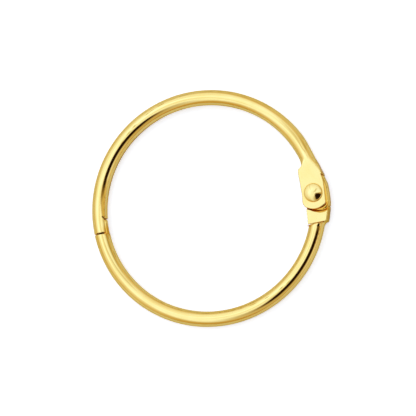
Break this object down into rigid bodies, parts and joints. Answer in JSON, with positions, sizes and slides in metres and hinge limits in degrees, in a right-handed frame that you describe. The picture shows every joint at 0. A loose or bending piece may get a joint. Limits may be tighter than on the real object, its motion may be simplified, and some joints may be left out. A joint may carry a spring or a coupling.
{
  "type": "hinged loose-leaf ring",
  "caption": "Gold-plated hinged loose-leaf ring: rolled half rings on a riveted clevis hinge, closed by a tongue that snaps into a socket. Binds sheets or carries keys.",
  "frame": {"origin": "centre of the closed ring, at the middle of its thickness", "axes": "+Z is the ring's axis, pointing out of the side that shows the rivet's domed head; +X points from the centre towards the hinge side; +Y points towards the top of the upper half"},
  "size_m": [0.047, 0.0462, 0.0047],
  "materials": {
    "upper_gold_plate": "polished gold plating on rolled steel strip",
    "lower_gold_plate": "polished gold plating on rolled steel strip",
    "rivet_gold_plate": "polished gold plating on a domed rivet head"
  },
  "bodies": {
    "lower_half": {"lower_ring_half": "lower_gold_plate"},
    "upper_half": {"upper_ring_half": "upper_gold_plate", "hinge_rivet": "rivet_gold_plate"}
  },
  "joints": [
    {"name": "ring_hinge", "type": "hinge", "parent": "lower_half", "child": "upper_half", "pos_m": [0.0208, 0.00263, 0], "axis": [0, 0, -1], "range_deg": [0, 95]}
  ]
}
